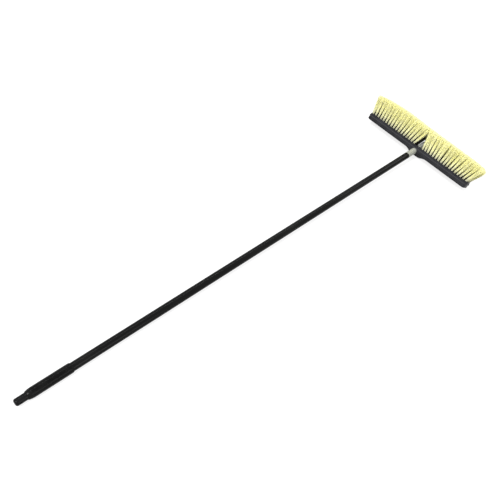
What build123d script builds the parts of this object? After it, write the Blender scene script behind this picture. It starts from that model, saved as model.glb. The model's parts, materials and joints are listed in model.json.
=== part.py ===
"""Long-handled snow broom: a bristle head on a screw-in steel handle.

Millimetres, +Z up, X along the head, Y from the grip towards the head.
The broom lies on the floor with its bristles up and forwards, resting on the
boss behind the head and on the rear of the grip.

Two working frames are used before the pieces are placed:
- the head frame has its origin in the middle of the block, the bristles
  along +Z and the handle coming in from -Y;
- the handle frame has the handle's axis along +Y, with its origin where the
  axis crosses the block's middle plane.
"""
import os
from math import cos, pi, radians, sin, sqrt

from build123d import *

# ---------------------------------------------------------------- head block
HEAD_L = 445.0          # along X
HEAD_W = 62.0           # across, at the flange
HEAD_T = 24.0           # back to bristle face
CORNER_R = 17.0         # corners seen on the bristle face
FLANGE_LOW = 0.5        # flange faces, above the middle plane
FLANGE_HIGH = 6.5
FLANGE_BEVEL = 1.2      # the flange's outer edges
BODY_INSET = 1.5        # lower body behind the flange's edge
BACK_ROUND = 5.0        # round along the back edges
PAD_INSET = 1.8         # raised bristle pad behind the flange's edge
PAD_BEVEL = 0.8

# ------------------------------------------------------ boss on the back face
# The boss is the belly of a barrel that lies along the head.
BARREL_Y = 7.0
BARREL_Z = 0.2
BARREL_PROFILE = ((14.0, 24.0), (23.0, 22.6), (31.5, 18.6), (41.0, 16.0), (52.0, 12.0))
BARREL_INSET = 2.0      # kept behind the flange's edge
BARREL_TOP = -5.0       # buried in the body above this height

# ------------------------------------------------------- handle in the head
LEAN = 30.0             # handle above the block's plane
CROSS_Y = -11.0         # where the axis crosses the block's middle plane
STEM_R = 9.5            # over the thread's crests
STEM_FIT = 0.05         # radial clearance of the thread
THREAD_PITCH = 5.08     # five turns to the inch
COLLAR_R = 10.9
COLLAR_FIT = 0.06
COLLAR_PLAY = 0.1       # gap to the tube's rim
SEAT_U = -5.0          # bottom of the collar's seat, along the handle
RIM_U = -64.0           # front end of the tube
STEM_END_U = 60.0       # tip of the stem, past the bristle face
STEM_CHAMFER = 2.0
TIP_BORE_R = 6.5        # the tip is hollow behind its nose
TIP_WALL_U = 44.0       # front end of that hollow

# -------------------------------------------------------------------- handle
TUBE_R = 11.1           # 7/8 inch tube
TUBE_WALL = 1.2
TUBE_RIM_BEVEL = 0.4
PLUG_L = 38.0           # tip inside the tube
PLUG_FIT = 0.05
TAIL_U = -1581.0        # rear end of the broom
TUBE_END_U = -1545.0
TAIL_R = 9.2
TAIL_DOME = ((5.2, 0.0), (7.6, 1.2), (9.2, 4.2))   # radius, distance from the end
TAIL_NECK_U = -1548.0
HANG_R = 3.5            # hang hole through the tail
HANG_U = -1568.0
GRIP_FRONT_U = -1438.0
GRIP_REAR_U = -1552.0
GRIP_SHOULDER_U = -1542.0
GRIP_R = 12.95
GRIP_FIT = 0.05
GRIP_NOSE = 3.0

# ------------------------------------------------------------------ bristles
ROWS = 5
ROW_PITCH = 11.2
TUFTS = 17              # per row, on each side of the handle
TUFT_FIRST_X = 19.4
TUFT_PITCH = 11.95
INNER_TUFTS = 9         # tufts in the piece next to the handle
STRIP_W = 8.4           # slice of the block that carries a row
STRIP_T = 3.0
STRIP_END = 2.7         # past the middle of the last tuft
STRIP_FIT = 0.1
SPLIT_GAP = 0.2         # between the two slices of one row
BRISTLE_L = 73.0        # along the strand
TIP_FIRST_X = 6.0       # where the fan's first and last tufts end
TIP_LAST_X = 227.5
TIP_SPREAD = 1.3       # how far the rows open towards the tips
STRAND_BASE = 1.45      # three-sided strand: middle to corner, at the block
STRAND_TIP = 1.25
STRAND_ROOT = 1.0       # sunk into the slice before the fuse
RAGGED = 1.0            # uneven tips
BASE_OFFSETS = ((-1.4, -1.3), (1.4, -1.3), (0.0, 1.8))
TIP_OFFSETS = ((-3.3, -2.4), (3.3, -2.4), (0.0, 3.6))

PAD_TOP = HEAD_T / 2


def placed_in_handle_frame(shape):
    """Turn a shape from the head frame to the handle frame."""
    crossing = Pos(0, -CROSS_Y, 0)
    return Rot(X=-LEAN) * crossing * shape


def along_handle_in_head_frame(radius, u0, u1):
    """A cylinder on the handle's axis, from station u0 to u1."""
    rod = Cylinder(radius, u1 - u0, align=(Align.CENTER, Align.CENTER, Align.MIN))
    axis = Rot(X=-(90 - LEAN))
    return Pos(0, CROSS_Y, 0) * axis * Pos(0, 0, u0) * rod


def slab(inset, z0, z1):
    """The head's plan, set in from the flange's edge, between two heights."""
    radius = CORNER_R - inset
    plan = RectangleRounded(HEAD_L - 2 * inset, HEAD_W - 2 * inset, radius)
    return extrude(Pos(0, 0, z0) * plan, z1 - z0)


def boss():
    """The swelling on the back that gives the handle's socket its depth."""
    right = list(BARREL_PROFILE)
    left = [(-x, radius) for x, radius in reversed(right)]
    crown = Spline(*left, *right)
    end = right[-1][0]
    rest = Polyline(right[-1], (end, 0), (-end, 0), left[0])
    barrel = revolve(make_face([crown, rest]), Axis.X)
    keep = slab(BARREL_INSET, BARREL_TOP - 40, BARREL_TOP)
    return (Pos(0, BARREL_Y, BARREL_Z) * barrel) & keep


def row_y(row):
    """Middle of a row, counted from the handle's side."""
    return (row - (ROWS - 1) / 2) * ROW_PITCH


def tuft_x(index):
    return TUFT_FIRST_X + index * TUFT_PITCH


def segment_span(outer):
    """First and last tuft, and both ends in X, of half a row's slice."""
    middle = tuft_x(INNER_TUFTS - 0.5)
    if outer:
        return INNER_TUFTS, TUFTS, middle + SPLIT_GAP / 2, tuft_x(TUFTS - 1) + STRIP_END
    return 0, INNER_TUFTS, TUFT_FIRST_X - STRIP_END, middle - SPLIT_GAP / 2


def groove(row, side):
    """The seat in the pad for both slices of a row on one side."""
    x0 = segment_span(False)[2] - STRIP_FIT
    x1 = segment_span(True)[3] + STRIP_FIT
    seat = Box(x1 - x0, STRIP_W + 2 * STRIP_FIT, STRIP_T + 1)
    middle = (x0 + x1) / 2
    return Pos(side * middle, row_y(row), PAD_TOP - STRIP_T + (STRIP_T + 1) / 2) * seat


def head_block():
    """Moulded block: body, flange, pad, boss, socket and bristle seats."""
    body = slab(BODY_INSET, -HEAD_T / 2, FLANGE_LOW + 1)
    body = fillet(body.faces().sort_by(Axis.Z)[0].edges(), BACK_ROUND)
    flange = slab(0, FLANGE_LOW, FLANGE_HIGH)
    faces = flange.faces().sort_by(Axis.Z)
    flange = chamfer(faces[0].edges() + faces[-1].edges(), FLANGE_BEVEL)
    pad = slab(PAD_INSET, FLANGE_HIGH - 1, PAD_TOP)
    pad = chamfer(pad.faces().sort_by(Axis.Z)[-1].edges(), PAD_BEVEL)
    block = body + flange + pad + boss()
    block -= along_handle_in_head_frame(STEM_R + STEM_FIT, -80, 80)
    block -= along_handle_in_head_frame(COLLAR_R + COLLAR_FIT, -80, SEAT_U)
    for row in range(ROWS):
        for side in (-1, 1):
            block -= groove(row, side)
    return block


def strand_ring(x, y, z, radius):
    """Three corners round a point, parallel to the block's face."""
    turns = [radians(angle) for angle in (0, 120, 240)]
    return [(x + radius * cos(turn), y + radius * sin(turn), z) for turn in turns]


def flat_sided(root, end):
    """The solid between two rings of corners, with flat sides."""
    faces = [Face(Wire.make_polygon(root)), Face(Wire.make_polygon(end))]
    for corner in range(len(root)):
        before = corner - 1
        side = (root[before], root[corner], end[corner], end[before])
        faces.append(Face(Wire.make_polygon(side)))
    return Solid(Shell(faces))


def strand(row, index, part, side):
    """One tapered three-sided strand, from the slice to its splayed tip."""
    fan = (TIP_LAST_X - TIP_FIRST_X) / (TUFTS - 1)
    base_x = side * (tuft_x(index) + BASE_OFFSETS[part][0])
    base_y = row_y(row) + BASE_OFFSETS[part][1]
    lean = TIP_FIRST_X + index * fan - tuft_x(index)
    rise = sqrt(BRISTLE_L**2 - lean**2)
    tip_x = side * (tuft_x(index) + lean + TIP_OFFSETS[part][0])
    tip_y = row_y(row) * TIP_SPREAD + TIP_OFFSETS[part][1]
    uneven = RAGGED * sin(2.7 * index + 1.9 * row + 2.1 * part + side)
    root = strand_ring(base_x, base_y, PAD_TOP - STRAND_ROOT, STRAND_BASE)
    end = strand_ring(tip_x, tip_y, PAD_TOP + rise + uneven, STRAND_TIP)
    return flat_sided(root, end)


def bristle_segment(row, side, outer):
    """Half a row on one side: its tufts' strands fused to their slice."""
    first, last, x0, x1 = segment_span(outer)
    slice_box = Box(x1 - x0, STRIP_W, STRIP_T)
    place = Pos(side * (x0 + x1) / 2, row_y(row), PAD_TOP - STRIP_T / 2)
    strands = []
    for index in range(first, last):
        short = index in (0, TUFTS - 1)
        for part in range(2 if short else 3):
            strands.append(strand(row, index, part, side))
    return (place * slice_box).solid().fuse(*strands)


def turned(outline):
    """A solid of revolution round Y from (radius, station) corners."""
    closed = list(outline) + [outline[0]]
    return revolve(make_face(Polyline(*closed)), Axis.Y)


def tip_collar():
    """Plain sleeve between the tube's rim and its seat in the head."""
    bore = STEM_R + STEM_FIT
    back = RIM_U + COLLAR_PLAY
    collar = turned(((bore, back), (COLLAR_R, back), (COLLAR_R, SEAT_U), (bore, SEAT_U)))
    mouth = collar.edges().filter_by(GeomType.CIRCLE).group_by(Axis.Y)[-1].sort_by(SortBy.RADIUS)
    return chamfer(mouth[-1:], 0.5)


def threaded_tip():
    """Stem that screws through the head, with its plug in the tube."""
    plug_r = TUBE_R - TUBE_WALL - PLUG_FIT
    back = RIM_U - PLUG_L
    nose_r = STEM_R - STEM_CHAMFER
    return turned((
        (TIP_BORE_R, back),
        (plug_r, back),
        (plug_r, RIM_U),
        (STEM_R, RIM_U),
        (STEM_R, STEM_END_U - STEM_CHAMFER),
        (nose_r, STEM_END_U),
        (0, STEM_END_U),
        (0, TIP_WALL_U),
        (TIP_BORE_R, TIP_WALL_U),
    ))


def handle_tube():
    """Coated steel tube, open at both ends."""
    inner = TUBE_R - TUBE_WALL
    tube = turned(((inner, TUBE_END_U), (TUBE_R, TUBE_END_U), (TUBE_R, RIM_U), (inner, RIM_U)))
    rim = tube.edges().filter_by(GeomType.CIRCLE).group_by(Axis.Y)[-1].sort_by(SortBy.RADIUS)
    return chamfer(rim[-1:], TUBE_RIM_BEVEL)


def grip_sleeve():
    """Sleeve with a bevelled nose, closing round the tail behind the tube's end."""
    bore = TUBE_R + GRIP_FIT
    neck = TAIL_R + GRIP_FIT
    return turned((
        (neck, GRIP_REAR_U),
        (neck + 1.2, GRIP_REAR_U),
        (GRIP_R - 0.8, GRIP_SHOULDER_U - 3),
        (GRIP_R, GRIP_SHOULDER_U),
        (GRIP_R, GRIP_FRONT_U - GRIP_NOSE),
        (GRIP_R - 0.9, GRIP_FRONT_U),
        (bore, GRIP_FRONT_U),
        (bore, TAIL_NECK_U),
        (neck, TAIL_NECK_U),
    ))


def end_cap():
    """Plug and flange at the tube's end, with the tail that hangs the broom."""
    plug_r = TUBE_R - TUBE_WALL - PLUG_FIT
    plug_front = TUBE_END_U + 26
    dome = [(radius, TAIL_U + step) for radius, step in TAIL_DOME]
    cap = turned((
        (0, TAIL_U),
        *dome,
        (TAIL_R, TAIL_NECK_U),
        (TUBE_R, TAIL_NECK_U),
        (TUBE_R, TUBE_END_U),
        (plug_r, TUBE_END_U),
        (plug_r, plug_front),
        (0, plug_front),
    ))
    return cap - Pos(0, HANG_U, 0) * Rot(Y=90) * Cylinder(HANG_R, 4 * TAIL_R)


def lowest(shapes, tilt):
    """Lowest point of some shapes once the broom has been tilted."""
    return min((Rot(X=tilt) * shape).bounding_box().min.Z for shape in shapes)


def resting_tilt(head, grip):
    """Turn about X that lets the head and the grip touch one floor."""
    low, high = 0.0, 3.0
    for _ in range(12):
        tilt = (low + high) / 2
        if lowest([grip], tilt) > lowest([head], tilt):
            low = tilt
        else:
            high = tilt
    return (low + high) / 2


def bristle_name(row, side, outer):
    hand = "left" if side < 0 else "right"
    reach = "outer" if outer else "inner"
    return f"bristles_row{row + 1}_{hand}_{reach}"


def all_pieces():
    """Every node of the broom, in the handle frame."""
    pieces = {"head_block": placed_in_handle_frame(head_block())}
    for row in range(ROWS):
        for side in (-1, 1):
            for outer in (True, False):
                shape = bristle_segment(row, side, outer)
                pieces[bristle_name(row, side, outer)] = placed_in_handle_frame(shape)
    pieces["threaded_tip"] = threaded_tip()
    pieces["tip_collar"] = tip_collar()
    pieces["handle_tube"] = handle_tube()
    pieces["grip_sleeve"] = grip_sleeve()
    pieces["end_cap"] = end_cap()
    return pieces


def main():
    os.makedirs("parts", exist_ok=True)
    pieces = all_pieces()
    tilt = resting_tilt(pieces["head_block"], pieces["grip_sleeve"])
    turned_pieces = {name: Rot(X=tilt) * shape for name, shape in pieces.items()}
    boxes = [shape.bounding_box() for shape in turned_pieces.values()]
    floor = min(box.min.Z for box in boxes)
    middle_y = (min(box.min.Y for box in boxes) + max(box.max.Y for box in boxes)) / 2
    shift = Pos(0, -middle_y, -floor)
    for name, shape in turned_pieces.items():
        final = shift * shape
        export_step(final, f"parts/{name}.step")
        box = final.bounding_box()
        print(name, "volume cm3", round(final.volume / 1000, 2), "size", box.size)
    axis = (0, cos(radians(tilt)), sin(radians(tilt)))
    print("tilt", round(tilt, 4), "shift y", round(-middle_y, 3), "shift z", round(-floor, 3))
    print("handle axis", [round(v, 6) for v in axis])
    print("metres of travel per radian", round(THREAD_PITCH / 1000 / (2 * pi), 9))


main()
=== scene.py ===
# %% [markdown]
# A snow broom for learning Blender: a straight moulded block full of pale
# yellow bristles, screwed onto a long black steel tube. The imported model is
# loaded first and never changed. Pieces whose shape is already right only get
# a finish. The bristles, the screw thread, the tube, the grip and the tail are
# modelled again with more detail and stand in for their plain solids.

# %% Load the frame
import json
import math

import bpy
import numpy as np
from mathutils import Matrix, Vector


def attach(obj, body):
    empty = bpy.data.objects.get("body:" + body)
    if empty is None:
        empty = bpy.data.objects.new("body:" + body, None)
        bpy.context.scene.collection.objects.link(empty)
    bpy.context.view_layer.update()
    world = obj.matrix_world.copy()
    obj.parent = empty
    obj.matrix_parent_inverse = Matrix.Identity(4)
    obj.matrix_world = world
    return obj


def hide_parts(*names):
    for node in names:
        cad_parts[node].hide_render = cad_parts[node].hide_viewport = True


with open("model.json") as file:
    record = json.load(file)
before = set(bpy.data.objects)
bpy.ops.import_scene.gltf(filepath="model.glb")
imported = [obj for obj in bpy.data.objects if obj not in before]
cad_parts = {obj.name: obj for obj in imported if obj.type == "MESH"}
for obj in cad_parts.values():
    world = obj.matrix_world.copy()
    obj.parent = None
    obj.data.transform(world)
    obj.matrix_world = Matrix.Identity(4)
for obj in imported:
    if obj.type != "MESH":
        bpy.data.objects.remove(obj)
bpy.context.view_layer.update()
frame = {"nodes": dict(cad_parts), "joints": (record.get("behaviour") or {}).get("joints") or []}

bpy.ops.object.select_all(action="DESELECT")

# %% [markdown]
# Three working frames make the pieces easy to write down. In the handle's
# frame Y runs along the tube towards the head, and its zero is where that axis
# crosses the block's middle. In the head's frame Z is the way the bristles
# stand. The third has the tube's axis as its Z, which suits turned parts. All
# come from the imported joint, so they follow the model. The broom's own sizes
# are written in millimetres, and a place along the handle's axis is called a
# station.

# %% Working frames
MM = 0.001
RIM_U = -64.0  # station of the tube's rim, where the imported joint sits
LEAN = 30.0  # degrees from the block's plane up to the handle
CROSS_Y = -11.0  # where the axis crosses the block's middle plane

turn = next(joint for joint in frame["joints"] if joint["name"] == "handle_turn")
towards_head = -Vector(turn["axis"]).normalized()
crossing = Vector(turn["pos_m"]) - towards_head * RIM_U * MM


def frame_matrix(y_axis, origin):
    """A frame whose Y is given and whose X stays the world's X."""
    x_axis = Vector((1, 0, 0))
    z_axis = x_axis.cross(y_axis)
    matrix = Matrix((x_axis, y_axis, z_axis)).transposed().to_4x4()
    matrix.translation = origin
    return matrix


HANDLE = frame_matrix(towards_head, crossing)
leaning = Matrix.Rotation(math.radians(-LEAN), 4, "X")
HEAD = HANDLE @ leaning @ Matrix.Translation((0, -CROSS_Y * MM, 0))
ALONG = HANDLE @ Matrix.Rotation(math.radians(-90), 4, "X")
print("axis tilt", round(math.degrees(math.asin(towards_head.z)), 3))

# %% [markdown]
# The camera was found from the photograph: the way the tube narrows gives the
# distance and the lens, and the block's length gives the turn. It is written
# in the handle's frame, as rows of right, down and forward.

# %% Camera
SENSOR = 36.0
FOCAL_PIXELS = 610.0
PICTURE_PIXELS = 500.0
NEAR = 0.05
FAR = 50.0
RIGHT = Vector((0.68412, 0.703083, 0.194045))
DOWN = Vector((0.633285, -0.440605, -0.636253))
FORWARD = Vector((-0.361842, 0.558159, -0.746679))
SHIFT = Vector((601.402, -364.078, 2202.84))

lens = bpy.data.cameras.new("camera")
lens.sensor_width = SENSOR
lens.lens = SENSOR * FOCAL_PIXELS / PICTURE_PIXELS
lens.clip_start = NEAR
lens.clip_end = FAR
camera = bpy.data.objects.new("camera", lens)
bpy.context.scene.collection.objects.link(camera)
placed = Matrix((RIGHT, -DOWN, -FORWARD)).transposed().to_4x4()
placed.translation = -(RIGHT * SHIFT.x + DOWN * SHIFT.y + FORWARD * SHIFT.z) * MM
camera.matrix_world = HANDLE @ placed
bpy.context.scene.camera = camera
print("camera at", [round(v, 3) for v in camera.matrix_world.translation])

# %% [markdown]
# Shader maths reads best as plain expressions. This small class wraps a
# socket, so that 1 - mask or mask * 0.3 adds its Math node by itself. The
# reflected forms, such as __rsub__, are for a number on the left.

# %% Shader maths


class Value:
    """A socket that ordinary arithmetic works on."""

    def __init__(self, nodes, socket):
        self.nodes = nodes
        self.socket = socket

    def math(self, operation, *others, swap=False):
        terms = [self, *others]
        if swap:
            terms.reverse()
        inputs = dict(enumerate(terms))
        return self.nodes.add("ShaderNodeMath", {"operation": operation}, inputs)

    def __add__(self, other):
        return self.math("ADD", other)

    def __radd__(self, other):
        return self.math("ADD", other)

    def __sub__(self, other):
        return self.math("SUBTRACT", other)

    def __rsub__(self, other):
        return self.math("SUBTRACT", other, swap=True)

    def __mul__(self, other):
        return self.math("MULTIPLY", other)

    def __rmul__(self, other):
        return self.math("MULTIPLY", other)


print("shader maths ready")

# %% [markdown]
# Every other node comes from one method that takes its type, settings and
# inputs, and gives one of its outputs as a value. Map Range turns one span of
# numbers into another, and Light Path tells which kind of ray is looking.

# %% Node trees


class Nodes:
    """A node tree, of a material or of the world."""

    def __init__(self, tree):
        self.tree = tree

    def add(self, kind, settings=None, inputs=None, output=0):
        """A node of any kind, with its settings and inputs, as one output."""
        made = self.tree.nodes.new(kind)
        for name, value in (settings or {}).items():
            if name == "stops":
                self.stops(made.color_ramp, value)
            else:
                setattr(made, name, value)
        for name, value in (inputs or {}).items():
            self.feed(made.inputs[name], value)
        return Value(self, made.outputs[output])

    def stops(self, ramp, stops):
        while len(ramp.elements) < len(stops):
            ramp.elements.new(1.0)
        for element, (place, color) in zip(ramp.elements, stops):
            element.position = place
            element.color = (*color, 1.0)

    def feed(self, socket, value):
        if isinstance(value, Value):
            self.tree.links.new(value.socket, socket)
        else:
            socket.default_value = value

    def spread(self, value, span, out=(0.0, 1.0)):
        """Maps a span of a value onto another span, and holds the ends."""
        limits = {"From Min": span[0], "From Max": span[1], "To Min": out[0], "To Max": out[1]}
        return self.add("ShaderNodeMapRange", {"clamp": True}, {"Value": value, **limits})

    def seen(self):
        """1 where the camera, gloss or glass looks, and 0 for other rays."""
        either = self.add("ShaderNodeLightPath", output="Is Camera Ray")
        for ray in ("Is Glossy Ray", "Is Transmission Ray"):
            either = either.math("MAXIMUM", self.add("ShaderNodeLightPath", output=ray))
        return either


print("node trees ready")

# %% [markdown]
# A finish is a material round one Principled shader. Its patterns are noises on
# Object coordinates, turned into a working frame, so they stay on the piece
# when it moves. A Mix node has sockets of the same name for each kind of data,
# so the colour ones are picked by their numbers.

# %% Finishes
MIX_FACTOR, MIX_FIRST, MIX_SECOND = 0, 6, 7
MIX_RESULT = 2
MIDDLE = (0.3, 0.7)  # where most of a noise lies


class Finish(Nodes):
    """A material built round one Principled shader."""

    def __init__(self, name, color, roughness, metallic=0.0, specular=0.5):
        self.material = bpy.data.materials.new(name)
        self.material.use_nodes = True
        super().__init__(self.material.node_tree)
        self.shader = self.tree.nodes["Principled BSDF"]
        self.set("Base Color", (*color, 1.0))
        self.set("Roughness", roughness)
        self.set("Metallic", metallic)
        self.set("Specular IOR Level", specular)

    def set(self, name, value):
        self.feed(self.shader.inputs[name], value)

    def place(self, matrix):
        """Object coordinates, turned into a working frame."""
        coords = self.add("ShaderNodeTexCoord", output="Object")
        back = matrix.inverted()
        inputs = {"Vector": coords, "Location": back.translation, "Rotation": back.to_euler()}
        return self.add("ShaderNodeMapping", {"vector_type": "POINT"}, inputs)

    def part(self, coords, axis):
        """One coordinate of a place, as a number."""
        return self.add("ShaderNodeSeparateXYZ", None, {"Vector": coords}, output=axis)

    def stretch(self, coords, scale):
        inputs = {"Vector": coords, "Scale": scale}
        return self.add("ShaderNodeMapping", {"vector_type": "POINT"}, inputs)

    def noise(self, coords, scale, detail=2.0, roughness=0.5):
        inputs = {"Vector": coords, "Scale": scale, "Detail": detail, "Roughness": roughness}
        return self.add("ShaderNodeTexNoise", None, inputs)

    def attribute(self, name):
        return self.add("ShaderNodeAttribute", {"attribute_name": name}, output="Fac")

    def mix(self, factor, first, second):
        inputs = {MIX_FACTOR: factor, MIX_FIRST: first, MIX_SECOND: second}
        return self.add("ShaderNodeMix", {"data_type": "RGBA"}, inputs, output=MIX_RESULT)

    def bump(self, height, depth, strength):
        inputs = {"Height": height, "Distance": depth * MM, "Strength": strength}
        self.set("Normal", self.add("ShaderNodeBump", None, inputs))

    def wear(self, broad, span, colors, rough):
        """Patches of a second colour, and a roughness that wanders."""
        self.set("Roughness", self.spread(broad, MIDDLE, rough))
        self.set("Base Color", self.mix(self.spread(broad, span), *colors))


def dress(node, finish):
    """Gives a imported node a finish."""
    owner = frame["nodes"][node]
    owner.data.materials.clear()
    owner.data.materials.append(finish.material)


print("finishes ready")

# %% [markdown]
# The block is moulded from near-black plastic with a faint blue cast. Its
# skin has a fine spark-eroded grain, and handling scuffs it a little paler and
# rougher in patches. Two noises give both: a fine one for the bump, a broad
# one for the patches. A third, drawn out along the block, gives the faint
# scratches that a broom gets on a path. A paler line along the flange is a
# painted highlight, where the lip catches the light.

# %% Block plastic
# Painted highlight: a paler band along the flange, where its lip catches the light.
PAINTED_HIGHLIGHT_Z = 2.2
PAINTED_HIGHLIGHT_W = 3.4
PAINTED_HIGHLIGHT_SHARE = 0.9
WORN_SPAN = (0.42, 0.72)
SCRATCH_SPAN = (0.62, 0.70)
SCRATCH_PULL = (0.12, 1.0, 1.0)
SCRATCH_SHARE = 0.35
SCRATCH_ROUGHENS = 0.1
FRESH_PLASTIC = (0.015, 0.015, 0.018, 1)
WORN_PLASTIC = (0.032, 0.032, 0.037, 1)
PAINTED_HIGHLIGHT_PLASTIC = (0.055, 0.055, 0.061, 1)
SCRATCHED_PLASTIC = (0.06, 0.06, 0.068, 1)


def block_plastic():
    made = Finish("block_plastic", (0.02, 0.02, 0.024), roughness=0.5, specular=0.12)
    coords = made.place(HEAD)
    broad = made.noise(coords, scale=28.0, detail=4.0, roughness=0.6)
    pulled = made.stretch(coords, SCRATCH_PULL)
    drawn = made.noise(pulled, scale=420.0, detail=3.0, roughness=0.6)
    scratch = made.spread(drawn, SCRATCH_SPAN)
    plain = made.mix(made.spread(broad, WORN_SPAN), FRESH_PLASTIC, WORN_PLASTIC)
    # Painted highlight: the colour is paler in a thin band along the flange.
    from_highlight = (made.part(coords, "Z") - PAINTED_HIGHLIGHT_Z * MM).math("ABSOLUTE")
    painted_highlight = made.spread(from_highlight, (0.0, PAINTED_HIGHLIGHT_W * MM), out=(1.0, 0.0))
    plain = made.mix(painted_highlight * PAINTED_HIGHLIGHT_SHARE, plain, PAINTED_HIGHLIGHT_PLASTIC)
    made.set("Base Color", made.mix(scratch * SCRATCH_SHARE, plain, SCRATCHED_PLASTIC))
    rough = made.spread(broad, MIDDLE, out=(0.42, 0.58))
    made.set("Roughness", rough + scratch * SCRATCH_ROUGHENS)
    made.bump(made.noise(coords, scale=1400.0), depth=0.06, strength=0.5)
    return made


plastic = block_plastic()
dress("head_block", plastic)
print("dressed the block")

# %% [markdown]
# Filaments are pale yellow, nearly white at the root and warmer towards the
# tips. The near-white of the roots is a painted highlight; the yellow is the
# filaments' own colour. The gradient follows an attribute that each filament
# carries from its root to its tip, and a second one gives every filament its
# own tint. A third says how deep inside the brush a point lies. There, low
# between the tufts, the colour is darkened as painted shade, so that the paler
# outside stands out.

# %% Filament finish
# The near-white at the root is a painted highlight; the yellow is the filaments' own colour.
ROOT_TO_TIP = (
    (0.0, (1.0, 0.995, 0.80)),
    (0.22, (1.0, 0.985, 0.60)),
    (0.55, (1.0, 0.975, 0.46)),
    (1.0, (0.99, 0.96, 0.47)),
)
WARM_TINT = (0.90, 0.85, 0.30, 1)
PALE_TINT = (1.0, 0.99, 0.80, 1)
TINT_SHARE = 0.28
# Painted shade: the colour that the inside of the brush is darkened towards.
PAINTED_SHADE_COLOR = (0.02, 0.017, 0.005, 1)
PAINTED_SHADE_SHARE = 0.97


def filament_finish():
    made = Finish("filament", (0.95, 0.93, 0.5), roughness=0.4, specular=0.3)
    tint = made.attribute("tint")
    ramp = made.add("ShaderNodeValToRGB", {"stops": ROOT_TO_TIP}, {"Fac": made.attribute("along")})
    lively = made.mix(TINT_SHARE, ramp, made.mix(tint, WARM_TINT, PALE_TINT))
    # Painted shade: deep in the brush the colour is darkened towards near-black olive.
    painted_shade_mix = made.attribute("deep") * PAINTED_SHADE_SHARE
    made.set("Base Color", made.mix(painted_shade_mix, lively, PAINTED_SHADE_COLOR))
    made.set("Roughness", made.spread(tint, (0.0, 1.0), out=(0.34, 0.5)))
    return made


filament = filament_finish()
print("filament finish ready")

# %% [markdown]
# One filament is modelled by hand: a five-sided disc is extruded in four
# steps and narrowed at its tip, and then its open root is filled. Each tuft is
# copies of that one filament, bent and aimed by numbers, because a tuft is
# only a bundle of the same thing. Five sides are enough at this size.

# %% One filament
FILAMENT_SIDES = 5
FILAMENT_STEPS = 4
FILAMENT_POINT = 0.6


def clean_start():
    """Object mode, with nothing selected."""
    if bpy.context.object and bpy.context.object.mode != "OBJECT":
        bpy.ops.object.mode_set(mode="OBJECT")
    bpy.ops.object.select_all(action="DESELECT")


def close_up():
    """In edit mode: fills what is open and turns every face outwards."""
    bpy.ops.mesh.select_all(action="SELECT")
    bpy.ops.mesh.fill_holes(sides=0)
    bpy.ops.mesh.select_all(action="SELECT")
    bpy.ops.mesh.normals_make_consistent(inside=False)


def as_numbers(seed):
    """A template's points and faces; the template itself goes."""
    points = np.array([vertex.co[:] for vertex in seed.data.vertices])
    faces = [tuple(face.vertices) for face in seed.data.polygons]
    bpy.data.objects.remove(seed)
    return points, faces


def filament_template():
    """A filament of unit length and radius."""
    clean_start()
    bpy.ops.mesh.primitive_circle_add(vertices=FILAMENT_SIDES, radius=1.0, fill_type="NGON")
    seed = bpy.context.object
    bpy.ops.object.mode_set(mode="EDIT")
    bpy.ops.mesh.select_all(action="SELECT")
    for step in range(FILAMENT_STEPS):
        rise = (0, 0, 1.0 / FILAMENT_STEPS)
        bpy.ops.mesh.extrude_region_move(TRANSFORM_OT_translate={"value": rise})
    narrowed = (FILAMENT_POINT, FILAMENT_POINT, 1.0)
    bpy.ops.transform.resize(value=narrowed, center_override=(0, 0, 1))
    close_up()
    bpy.ops.object.mode_set(mode="OBJECT")
    return as_numbers(seed)


filament_points, filament_faces = filament_template()
print("filament", len(filament_points), "points", len(filament_faces), "faces")

# %% [markdown]
# The tufts stand in five rows. Each half of a row fans out, from leaning over
# the gap at the handle to leaning past the block's end, and the rows open
# towards their tips. Both ends of a half row stand a little aside from the even
# pitch, by an amount that each row and side has for itself. Numbers along a row
# count outwards from the handle, on the left side (-1) and on the right (1).

# %% Tuft layout
ROWS = 5
ROW_PITCH = 11.2
TUFTS = 17
INNER_TUFTS = 9
TUFT_FIRST_X = 19.4
TUFT_PITCH = 11.83
END_PUSH = {-1: (2.5, 4.5, 5.0, 5.0, 3.0), 1: (2.4, 5.5, 6.8, 7.2, 5.0)}
INNER_PULL = {-1: (0.0, 2.4, 2.4, 2.4, 1.2), 1: (-2.5, 1.0, 2.4, 2.4, 1.2)}
END_FADES = 4
PULL_FADES = 12
TIP_FRONT_X = 4.0
TIP_FIRST_X = {-1: (-4.5, -5.0, -5.5, -5.5, -5.5), 1: (7.5, 4.0, 0.0, -2.0, -3.0)}
TIP_LAST_X = {-1: 222.0, 1: 234.0}
TIP_FADES = 8
TIP_SPREAD = 1.3
TUFT_LEAN = 1.5
SEED = 11
dice = np.random.default_rng(SEED)


def row_y(row):
    return (row - (ROWS - 1) / 2) * ROW_PITCH


def tuft_x(index):
    return TUFT_FIRST_X + index * TUFT_PITCH


def tuft_root(row, side, index):
    """Where a tuft stands on the block, in the head's X and Y."""
    away = index / (TUFTS - 1)
    pushed = END_PUSH[side][row] * away**END_FADES
    pulled = INNER_PULL[side][row] * (1 - away) ** PULL_FADES
    moved = pushed - pulled
    return np.array([side * (tuft_x(index) + moved), row_y(row)])


def tuft_tip(row, side, index):
    """Where the middle of a tuft ends; no two lean quite alike."""
    away = index / (TUFTS - 1)
    fan = TIP_FRONT_X + (TIP_LAST_X[side] - TIP_FRONT_X) * away
    inward = (TIP_FRONT_X - TIP_FIRST_X[side][row]) * (1 - away) ** TIP_FADES
    aim = np.array([side * (fan - inward), row_y(row) * TIP_SPREAD])
    return aim + dice.normal(0, TUFT_LEAN, 2)


print("tufts in all", ROWS * 2 * TUFTS)

# %% [markdown]
# Deep in the brush the colour is darkened, as painted shade. How deep a
# filament stands is its distance from the edge of the field of tufts, and the
# painted shade fades from the root upwards. Behind the front row, the tufts
# beside the gap are painted dark for most of their length.

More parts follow.
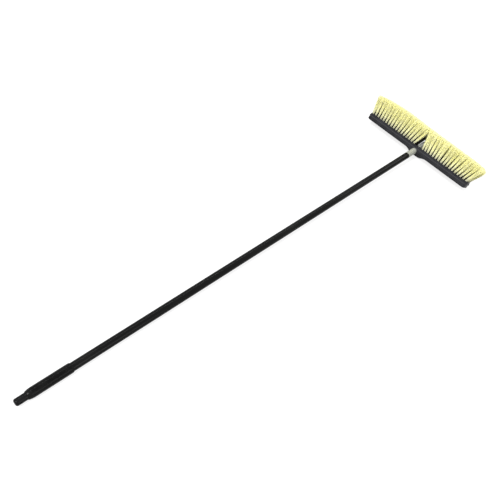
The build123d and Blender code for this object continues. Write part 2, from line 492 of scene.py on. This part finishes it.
# %% Shade inside the brush
FIELD_X = 216.0
FIELD_Y = 25.6
DEEP_SPAN = (6.2, 9.0)
DEEP_INNER = (0.3, 2.5)
DEEP_FADE = (0.12, 0.7)
DEEP_FADE_INNER = (0.5, 0.92)


def smooth_step(low, high, value):
    part = np.clip((value - low) / (high - low), 0, 1)
    return part * part * (3 - 2 * part)


def depth(roots, span):
    """How far inside the brush each root stands, from 0 to 1."""
    away = np.minimum(FIELD_Y - np.abs(roots[:, 1]), FIELD_X - np.abs(roots[:, 0]))
    return smooth_step(*span, away)


def darkness(row, index, roots, along):
    """How much painted shade each point gets; the tufts beside the gap behind get the most."""
    inner = row > 0 and index < 1
    fading = 1 - smooth_step(*(DEEP_FADE_INNER if inner else DEEP_FADE), along)
    inside = depth(roots, DEEP_INNER if inner else DEEP_SPAN)
    return np.outer(inside, fading).ravel()


print("field of tufts", 2 * FIELD_X, "by", 2 * FIELD_Y, "mm")

# %% [markdown]
# Inside a tuft the filaments stand close at the root and splay towards the
# tip, each with its own length, bow and tint. The trimmed ends form a nearly
# flat brush with a few strays, and their height was read along the
# photograph's outline.

# %% One tuft
FILAMENTS = 80
FILAMENT_R = 0.39
TUFT_R = 3.2
TIP_R = 7.4
SPLAY = 1.7
TIP_X = (-248, -236, -206, -160, -114, -66, -18, 28, 73, 118, 162, 206, 226, 238, 247)
TIP_Z = (60.0, 65.5, 70.5, 74.5, 76.0, 74.5, 72.5, 71.8, 71.2, 70.7, 70.1, 68.5, 66.5, 60.0, 50.0)
PAD_TOP = 12.0
SUNK = 0.8
ROOT_SHAKE = 0.06
SPLAY_SHAKE = 0.7
HEIGHT_SHAKE = 1.0
BOW_SHAKE = 0.9
OWN_TINT = 0.65
TUFT_TINT = 0.35
GOLDEN = 2.39996


def disc(count):
    """Points spread evenly over a disc, a little shaken."""
    order = np.arange(count) + 0.5
    away = np.sqrt(order / count)
    angle = order * GOLDEN + dice.uniform(0, 2 * math.pi)
    even = np.stack([away * np.cos(angle), away * np.sin(angle)], 1)
    return even + dice.normal(0, ROOT_SHAKE, (count, 2))


def tuft(row, side, index):
    """A tuft's points, with each point's place along, tint and painted shade."""
    spread = disc(FILAMENTS)
    roots = tuft_root(row, side, index) + spread * TUFT_R
    splay = spread * (TIP_R - TUFT_R) + dice.normal(0, SPLAY_SHAKE, (FILAMENTS, 2))
    lean = tuft_tip(row, side, index) - tuft_root(row, side, index)
    ends = roots + lean + splay
    heights = np.interp(ends[:, 0], TIP_X, TIP_Z) + dice.normal(0, HEIGHT_SHAKE, FILAMENTS)
    bow = dice.normal(0, BOW_SHAKE, (FILAMENTS, 2))
    tints = OWN_TINT * dice.uniform(0, 1, FILAMENTS) + TUFT_TINT * dice.uniform(0, 1)
    along = filament_points[:, 2]
    cross = filament_points[:, :2] * FILAMENT_R
    groups = []
    for k in range(FILAMENTS):
        line = roots[k] + lean * along[:, None] + splay[k] * (along**SPLAY)[:, None]
        line = line + bow[k] * (np.sin(along * math.pi))[:, None]
        z = PAD_TOP - SUNK + (heights[k] + SUNK) * along
        groups.append(np.column_stack([line + cross, z]))
    # Painted shade: how much each point is darkened deep in the brush.
    deep = darkness(row, index, roots, along)
    return np.concatenate(groups), np.tile(along, FILAMENTS), np.repeat(tints, len(along)), deep


print("filaments in a tuft", FILAMENTS)

# %% [markdown]
# Each row is set in a strip of the block. The strip is a cube stretched to a
# bar, with a small bevel, because moulded edges are never quite sharp.

# %% Strips
STRIP_W = 8.4
STRIP_T = 3.0
STRIP_END = 2.7
STRIP_BEVEL = 0.25
SPLIT_GAP = 0.2


def segment_span(outer):
    """First and last tuft of half a row's strip, and its two ends."""
    middle = tuft_x(INNER_TUFTS - 0.5)
    if outer:
        return INNER_TUFTS, TUFTS, middle + SPLIT_GAP / 2, tuft_x(TUFTS - 1) + STRIP_END
    return 0, INNER_TUFTS, TUFT_FIRST_X - STRIP_END, middle - SPLIT_GAP / 2


def strip(x0, x1, y):
    clean_start()
    middle = ((x0 + x1) / 2 * MM, y * MM, (PAD_TOP - STRIP_T / 2) * MM)
    bpy.ops.mesh.primitive_cube_add(size=1.0, location=middle)
    bar = bpy.context.object
    bar.scale = ((x1 - x0) * MM, STRIP_W * MM, STRIP_T * MM)
    bpy.ops.object.transform_apply(location=True, rotation=False, scale=True)
    bpy.ops.object.mode_set(mode="EDIT")
    bpy.ops.mesh.select_all(action="SELECT")
    bpy.ops.mesh.bevel(offset=STRIP_BEVEL * MM, segments=2, affect="EDGES")
    bpy.ops.object.mode_set(mode="OBJECT")
    return bar


print("strip from", segment_span(False)[2], "to", segment_span(True)[3], "mm")

# %% [markdown]
# Round every tuft the strip has a moulded ring, like the rim of the hole that a
# real tuft is set in. A disc is drawn up and narrowed a little, inset, and its
# middle is pushed down again.

# %% Ring round a tuft
RING_SIDES = 14
RING_R = 3.6
RING_H = 0.3
RING_TAPER = 0.93
RING_WALL = 0.5
RING_FLOOR = 0.08


def ring_template():
    """A ring that stands round one tuft's root."""
    clean_start()
    bpy.ops.mesh.primitive_circle_add(vertices=RING_SIDES, radius=RING_R, fill_type="NGON")
    ring = bpy.context.object
    bpy.ops.object.mode_set(mode="EDIT")
    bpy.ops.mesh.select_all(action="SELECT")
    bpy.ops.mesh.extrude_region_move(TRANSFORM_OT_translate={"value": (0, 0, RING_H)})
    tapered = (RING_TAPER, RING_TAPER, 1.0)
    bpy.ops.transform.resize(value=tapered, center_override=(0, 0, RING_H))
    bpy.ops.mesh.inset(thickness=RING_WALL)
    sink = (0, 0, RING_FLOOR - RING_H)
    bpy.ops.mesh.extrude_region_move(TRANSFORM_OT_translate={"value": sink})
    close_up()
    bpy.ops.object.mode_set(mode="OBJECT")
    return as_numbers(ring)


ring_points, ring_faces = ring_template()
print("ring round a tuft", len(ring_faces), "faces")

# %% [markdown]
# Copies of a template become one mesh, which costs far less than hundreds of
# objects. A finished piece has its place in its mesh and its object at the
# origin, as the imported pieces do, so that a pose can move it.

# %% Pieces from copies


def mesh_piece(name, points, faces, finish, notes=None):
    """An object from points in millimetres, with a number noted at each."""
    mesh = bpy.data.meshes.new(name)
    mesh.from_pydata((points * MM).tolist(), [], faces)
    mesh.materials.append(finish.material)
    for label, values in (notes or {}).items():
        mesh.attributes.new(label, "FLOAT", "POINT").data.foreach_set("value", values)
    made = bpy.data.objects.new(name, mesh)
    bpy.context.scene.collection.objects.link(made)
    return made


def copies(points, faces, count):
    """The faces of several copies of a template, one after another."""
    size = len(points)
    return [tuple(corner + size * k for corner in face) for k in range(count) for face in faces]


def settle(piece, matrix):
    """Puts a piece's place into its mesh."""
    clean_start()
    piece.matrix_world = matrix @ piece.matrix_world
    piece.select_set(True)
    bpy.context.view_layer.objects.active = piece
    bpy.ops.object.transform_apply(location=True, rotation=True, scale=True)
    piece.select_set(False)


print("piece helpers ready")

# %% [markdown]
# Half a row on one side is one piece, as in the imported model, and its strip
# with the rings is another. Both belong to the head.

# %% Build the rows
HANDS = ((-1, "left"), (1, "right"))
REACHES = ((True, "outer"), (False, "inner"))


def row_filaments(name, row, side, first, last):
    clouds = [tuft(row, side, index) for index in range(first, last)]
    points, along, tint, deep = (np.concatenate(part) for part in zip(*clouds))
    faces = copies(filament_points, filament_faces, len(clouds) * FILAMENTS)
    # The painted shade goes with the mesh as an attribute.
    notes = {"along": along, "tint": tint, "deep": deep}
    made = mesh_piece(name + "_filaments", points, faces, filament, notes)
    made.data.polygons.foreach_set("use_smooth", [True] * len(faces))
    return made


def row_strip(name, row, side, first, last, x0, x1):
    feet = [(*tuft_root(row, side, index), PAD_TOP) for index in range(first, last)]
    points = np.concatenate([ring_points + foot for foot in feet])
    rings = mesh_piece(name + "_strip", points, copies(ring_points, ring_faces, len(feet)), plastic)
    low, high = sorted((side * x0, side * x1))
    bar = strip(low, high, row_y(row))
    bar.data.materials.append(plastic.material)
    clean_start()
    for part in (bar, rings):
        part.select_set(True)
    bpy.context.view_layer.objects.active = rings
    bpy.ops.object.join()
    return rings


def row_piece(row, side, hand, outer, reach):
    first, last, x0, x1 = segment_span(outer)
    name = f"bristles_row{row + 1}_{hand}_{reach}"
    tufts = row_filaments(name, row, side, first, last)
    foot = row_strip(name, row, side, first, last, x0, x1)
    for piece in (tufts, foot):
        settle(piece, HEAD)
        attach(piece, "head")
    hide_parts(name)
    return len(tufts.data.polygons)


total = 0
for row in range(ROWS):
    for side, hand in HANDS:
        for outer, reach in REACHES:
            total += row_piece(row, side, hand, outer, reach)
print("filament faces", total)

# %% [markdown]
# The rest of the broom is turned parts. A turned part starts as one corner
# that is extruded along its profile, in radius and station, and the Screw
# modifier carries that line round the axis. With a pitch, the same modifier
# winds one tooth of a thread into the whole screw.

# %% Profiles and winding
CLOSE = 0.01


def profile_line(name, corners):
    """Edges through (radius, station) corners, beside the Z axis."""
    clean_start()
    bpy.ops.mesh.primitive_plane_add(size=MM)
    line = bpy.context.object
    line.name = name
    bpy.ops.object.mode_set(mode="EDIT")
    bpy.ops.mesh.select_all(action="SELECT")
    bpy.ops.mesh.merge(type="CENTER")
    before = (0.0, 0.0)
    for number, corner in enumerate(corners):
        step = ((corner[0] - before[0]) * MM, 0, (corner[1] - before[1]) * MM)
        if number == 0:
            bpy.ops.transform.translate(value=step)
        else:
            bpy.ops.mesh.extrude_region_move(TRANSFORM_OT_translate={"value": step})
        before = corner
    bpy.ops.object.mode_set(mode="OBJECT")
    return line


def merge_close():
    """Goes into edit mode and joins the points that meet."""
    bpy.ops.object.mode_set(mode="EDIT")
    bpy.ops.mesh.select_all(action="SELECT")
    bpy.ops.mesh.remove_doubles(threshold=CLOSE * MM)


def wind(line, steps, pitch=0.0, turns=1):
    """Carries a profile round Z, and up by the pitch at each turn."""
    screw = line.modifiers.new("wind", "SCREW")
    screw.axis = "Z"
    screw.steps = steps
    screw.render_steps = steps
    screw.screw_offset = pitch * MM
    screw.iterations = turns
    bpy.ops.object.modifier_apply(modifier="wind")


print("profile tools ready")

# %% [markdown]
# Most parts go once round the axis with no pitch, and then the ends of the turn
# are merged. Smooth shading stops at sharp edges, and the finished part goes
# onto the handle's axis, in place of its plain solid.

# %% Turned parts
ROUND_STEPS = 64
SOFT_ANGLE = math.radians(32)


def soften(piece):
    """Smooth shading, except over sharp edges."""
    clean_start()
    piece.select_set(True)
    bpy.context.view_layer.objects.active = piece
    bpy.ops.object.shade_smooth_by_angle(angle=SOFT_ANGLE)


def turned(name, corners):
    """A closed turned solid with its axis along Z."""
    piece = profile_line(name, corners)
    wind(piece, ROUND_STEPS)
    merge_close()
    bpy.ops.mesh.normals_make_consistent(inside=False)
    bpy.ops.object.mode_set(mode="OBJECT")
    return piece


def fit(piece, finish, node):
    """Finishes a turned part, puts it on the handle's axis and hands it over."""
    piece.data.materials.append(finish.material)
    soften(piece)
    settle(piece, ALONG)
    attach(piece, "handle")
    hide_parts(node)
    print(piece.name, len(piece.data.polygons), "faces")


print("turning tools ready")

# %% [markdown]
# The stem and the collar on it are bare metal, pale and satin, with a faint
# brushing round the axis from the lathe. Thin oxide keeps it from being a
# mirror, so it is only slightly metallic and fairly rough.

# %% Bare metal
BRUSH_PULL = (0.1, 1.0, 0.1)
CLOUD_SPAN = (0.4, 0.7)
CLEAN_METAL = (0.44, 0.45, 0.40, 1)
DULL_METAL = (0.34, 0.35, 0.31, 1)


def bare_metal():
    made = Finish("bare_metal", (0.78, 0.79, 0.73), roughness=0.42, metallic=0.15)
    coords = made.place(HANDLE)
    brushed = made.noise(made.stretch(coords, BRUSH_PULL), scale=900.0)
    cloudy = made.noise(coords, scale=60.0, detail=3.0, roughness=0.6)
    made.set("Roughness", made.spread(brushed, MIDDLE, out=(0.34, 0.5)))
    made.set("Base Color", made.mix(made.spread(cloudy, CLOUD_SPAN), CLEAN_METAL, DULL_METAL))
    made.bump(brushed, depth=0.03, strength=0.4)
    return made


metal = bare_metal()
dress("tip_collar", metal)
print("dressed the collar")

# %% [markdown]
# The stem's thread is coarse and round-shouldered, five turns to the inch. One
# tooth is drawn and wound a few turns too long, and both ends are cut square
# with bisect, which also fills them. The last face is then drawn out and made
# smaller, as the lead that finds the hole. The smooth shank behind the thread
# ends in the plug inside the tube.

# %% Threaded stem
PITCH = 5.08
CREST_R = 9.5
FLANK_R = 9.1
ROOT_R = 8.7
TOOTH = (
    (ROOT_R, 0.0),
    (ROOT_R, 1.0),
    (FLANK_R, 1.8),
    (CREST_R, 2.1),
    (CREST_R, 4.1),
    (FLANK_R, 4.4),
    (ROOT_R, PITCH),
)
THREAD_STEPS = 32
THREAD_TURNS = 16
THREAD_FROM = -13.08
THREAD_BACK = -5.0
THREAD_FRONT = 57.5
STEM_END = 60.0
LEAD_TAPER = 0.8
SHANK_FRONT = -5.1
PLAIN_R = 9.4
PLUG_R = 9.85
PLUG_BACK = -102.0


def cut(station, keep_above):
    """In edit mode: cuts square to the axis and fills the cut."""
    bpy.ops.mesh.select_all(action="SELECT")
    bpy.ops.mesh.bisect(
        plane_co=(0, 0, station * MM),
        plane_no=(0, 0, 1),
        use_fill=True,
        clear_inner=keep_above,
        clear_outer=not keep_above,
    )


def thread():
    piece = profile_line("stem_thread", [(radius, THREAD_FROM + u) for radius, u in TOOTH])
    wind(piece, THREAD_STEPS, PITCH, THREAD_TURNS)
    merge_close()
    cut(THREAD_BACK, True)
    cut(THREAD_FRONT, False)
    rise = (0, 0, (STEM_END - THREAD_FRONT) * MM)
    bpy.ops.mesh.extrude_region_move(TRANSFORM_OT_translate={"value": rise})
    tapered = (LEAD_TAPER, LEAD_TAPER, 1.0)
    bpy.ops.transform.resize(value=tapered, center_override=(0, 0, STEM_END * MM))
    bpy.ops.mesh.select_all(action="SELECT")
    bpy.ops.mesh.normals_make_consistent(inside=False)
    bpy.ops.object.mode_set(mode="OBJECT")
    return piece


shank = turned("stem_shank", (
    (0, PLUG_BACK),
    (PLUG_R, PLUG_BACK),
    (PLUG_R, RIM_U),
    (PLAIN_R, RIM_U),
    (PLAIN_R, SHANK_FRONT),
    (0, SHANK_FRONT),
))
stem = thread()
clean_start()
shank.select_set(True)
stem.select_set(True)
bpy.context.view_layer.objects.active = stem
bpy.ops.object.join()
stem.name = "threaded_stem"
fit(stem, metal, "threaded_tip")

# %% [markdown]
# The tube is steel with a black powder coat: glossy enough for one long soft
# highlight, with a fine orange peel, and a few patches rubbed duller by
# gloves. Its real wall shows only at the rim.

# %% Steel tube
COAT_PULL = (1.0, 0.3, 1.0)
COAT_BLACKS = ((0.006, 0.006, 0.006, 1), (0.012, 0.012, 0.0115, 1))
TUBE_R = 11.1
TUBE_BORE_R = 9.9
TUBE_BACK = -1545.0
RIM_BEVEL = 0.4


def gloss_coat():
    made = Finish("gloss_coat", (0.008, 0.008, 0.008), roughness=0.3, specular=0.06)
    coords = made.place(HANDLE)
    broad = made.noise(made.stretch(coords, COAT_PULL), scale=16.0, detail=3.0)
    made.wear(broad, span=(0.5, 0.75), colors=COAT_BLACKS, rough=(0.14, 0.24))
    made.bump(made.noise(coords, scale=420.0), depth=0.08, strength=0.35)
    return made


coat = gloss_coat()
tube = turned("steel_tube", (
    (TUBE_BORE_R, TUBE_BACK),
    (TUBE_R, TUBE_BACK),
    (TUBE_R, RIM_U - RIM_BEVEL),
    (TUBE_R - RIM_BEVEL, RIM_U),
    (TUBE_BORE_R, RIM_U),
    (TUBE_BORE_R, TUBE_BACK),
))
fit(tube, coat, "handle_tube")

# %% [markdown]
# The grip is a rubber sleeve with fine ribs all the way round it, so a wet
# glove holds it. Each rib is four more corners in the profile, and the sleeve
# closes round the tail with a long shoulder.

# %% Ribbed grip
RUBBER_BLACKS = ((0.005, 0.005, 0.005, 1), (0.012, 0.012, 0.0115, 1))
GRIP_FRONT = -1438.0
GRIP_BACK = -1552.0
GRIP_BORE = 11.15
NECK_R = 9.25
NECK_FRONT = -1548.0
SHOULDER = ((NECK_R, GRIP_BACK), (10.1, GRIP_BACK), (10.6, -1551.4), (12.0, -1545.4), (12.4, -1542.6))
NOSE = ((12.7, -1440.4), (12.5, -1438.9), (12.0, GRIP_FRONT))
INSIDE = ((GRIP_BORE, GRIP_FRONT), (GRIP_BORE, NECK_FRONT), (NECK_R, NECK_FRONT), (NECK_R, GRIP_BACK))
RIBS = 34
RIB_FIRST = -1540.0
RIB_PITCH = 2.9
RIB_SHAPE = ((12.4, 0.0), (12.95, 0.55), (12.95, 1.75), (12.4, 2.3))


def grip_rubber():
    made = Finish("grip_rubber", (0.008, 0.008, 0.008), roughness=0.35, specular=0.07)
    coords = made.place(HANDLE)
    broad = made.noise(coords, scale=40.0, detail=3.0)
    made.wear(broad, span=(0.5, 0.8), colors=RUBBER_BLACKS, rough=(0.16, 0.26))
    made.bump(made.noise(coords, scale=900.0, detail=3.0), depth=0.03, strength=0.4)
    return made


corners = list(SHOULDER)
for rib in range(RIBS):
    corners += [(radius, RIB_FIRST + rib * RIB_PITCH + u) for radius, u in RIB_SHAPE]
corners += [*NOSE, *INSIDE]
rubber = grip_rubber()
grip = turned("ribbed_grip", corners)
fit(grip, rubber, "grip_sleeve")

# %% [markdown]
# The tail plugs the tube's end and stands out behind the grip. It is turned
# with a domed end, and a hole is bored across it so that the broom can hang.
# The bore is a Boolean cut, because nothing turned can make a cross hole.

# %% Tail
CAP_BLACKS = ((0.006, 0.006, 0.0065, 1), (0.013, 0.013, 0.0135, 1))
TAIL_END = -1581.0
TAIL_R = 9.2
FLANGE_R = 11.1
CAP_PLUG_R = 9.85
CAP_PLUG_FRONT = -1519.0
DOME = ((0, 0.0), (3.6, 0.05), (5.8, 0.4), (7.4, 1.3), (8.5, 2.7), (9.05, 4.3), (TAIL_R, 6.2))
HANG_R = 3.5
HANG_U = -1568.0
BORE_SIDES = 40


def cap_plastic():
    made = Finish("cap_plastic", (0.01, 0.01, 0.01), roughness=0.34, specular=0.08)
    coords = made.place(HANDLE)
    broad = made.noise(coords, scale=60.0, detail=3.0)
    made.wear(broad, span=(0.5, 0.75), colors=CAP_BLACKS, rough=(0.17, 0.27))
    made.bump(made.noise(coords, scale=700.0), depth=0.05, strength=0.4)
    return made


def bore_across(piece, radius, station):
    """Cuts a round hole along X through a turned part."""
    clean_start()
    bpy.ops.mesh.primitive_cylinder_add(
        vertices=BORE_SIDES,
        radius=radius * MM,
        depth=4 * TAIL_R * MM,
        location=(0, 0, station * MM),
        rotation=(0, math.radians(90), 0),
    )
    drill = bpy.context.object
    clean_start()
    piece.select_set(True)
    bpy.context.view_layer.objects.active = piece
    hole = piece.modifiers.new("bore", "BOOLEAN")
    hole.operation = "DIFFERENCE"
    hole.solver = "EXACT"
    hole.object = drill
    bpy.ops.object.modifier_apply(modifier="bore")
    bpy.data.objects.remove(drill)


cap = cap_plastic()
tail = turned("hang_tail", (
    *((radius, TAIL_END + u) for radius, u in DOME),
    (TAIL_R, NECK_FRONT),
    (FLANGE_R, NECK_FRONT),
    (FLANGE_R, TUBE_BACK),
    (CAP_PLUG_R, TUBE_BACK),
    (CAP_PLUG_R, CAP_PLUG_FRONT),
    (0, CAP_PLUG_FRONT),
))
bore_across(tail, HANG_R, HANG_U)
fit(tail, cap, "end_cap")

# %% [markdown]
# A pale floor. To the camera it is nearly white, which comes from its own
# glow and not from more light on the broom, and its diffuse part still shows a
# soft shadow. Gloss and glass see the same white floor. Its real colour, which
# only lights the broom from below, is darker.

# %% Floor
FLOOR_SIZE = 14.0
FLOOR_WHITE = 0.82
FLOOR_SHADE = (0.3, 0.3, 0.3, 1)
WHITE = (1, 1, 1, 1)


def floor_finish():
    made = Finish("floor", (0.2, 0.2, 0.2), roughness=0.9)
    real = Value(made, made.shader.outputs["BSDF"])
    glow = made.add("ShaderNodeEmission", None, {"Color": WHITE, "Strength": FLOOR_WHITE})
    shade = made.add("ShaderNodeBsdfDiffuse", None, {"Color": FLOOR_SHADE})
    pale = made.add("ShaderNodeAddShader", None, {0: glow, 1: shade})
    blend = made.add("ShaderNodeMixShader", None, {0: made.seen(), 1: real, 2: pale})
    made.feed(made.tree.nodes["Material Output"].inputs["Surface"], blend)
    return made


clean_start()
bpy.ops.mesh.primitive_plane_add(size=FLOOR_SIZE, location=(0, 0, 0))
floor = bpy.context.object
floor.name = "floor"
floor.data.materials.append(floor_finish().material)
print("floor ready")

# %% [markdown]
# The world lights all sides a little, yet the camera, gloss and glass see it
# white. Light Path tells these rays apart, so the white background doesn't
# wash out the broom's own colours.

# %% World
SKY_LIGHT = 0.44
SKY_SEEN = 1.0

world = bpy.data.worlds.new("world")
bpy.context.scene.world = world
world.use_nodes = True
sky = Nodes(world.node_tree)
background = world.node_tree.nodes["Background"]
strength = sky.spread(sky.seen(), (0.0, 1.0), (SKY_LIGHT, SKY_SEEN))
sky.feed(background.inputs["Strength"], strength)
sky.feed(background.inputs["Color"], WHITE)
print("world ready")

# %% [markdown]
# Soft studio light: a large lamp high beyond the grip lights the bristles and
# the tube, a weak one fills from the right end, and one beyond the head lifts
# its far side. A long narrow lamp, high on the left and parallel to the handle,
# draws the streak of gloss along it. Together they light a surface about as it
# is written.

# %% Light


def area_light(name, place, target, size, power, width=None):
    """A round lamp, or a long one if a width is given."""
    lamp = bpy.data.lights.new(name, "AREA")
    lamp.shape = "RECTANGLE" if width else "DISK"
    lamp.size = size
    lamp.size_y = width or size
    lamp.energy = power
    holder = bpy.data.objects.new(name, lamp)
    bpy.context.scene.collection.objects.link(holder)
    holder.location = place
    aim = Vector(target) - Vector(place)
    holder.rotation_euler = aim.to_track_quat("-Z", "Y").to_euler()


area_light("key", (-0.4, -4.6, 6.4), (0, 0.2, 0), size=2.2, power=540.0)
area_light("fill", (2.9, 0.2, 1.3), (0, 0.6, 0), size=1.6, power=26.0)
area_light("back", (1.2, 5.6, 4.2), (0, 0.5, 0), size=2.2, power=45.0)
area_light("strip", (-2.3, 2.5, 5.0), (0, 2.5, 0), size=6.0, power=100.0, width=0.3)
bpy.context.scene.view_settings.view_transform = "Standard"
print("lights ready")
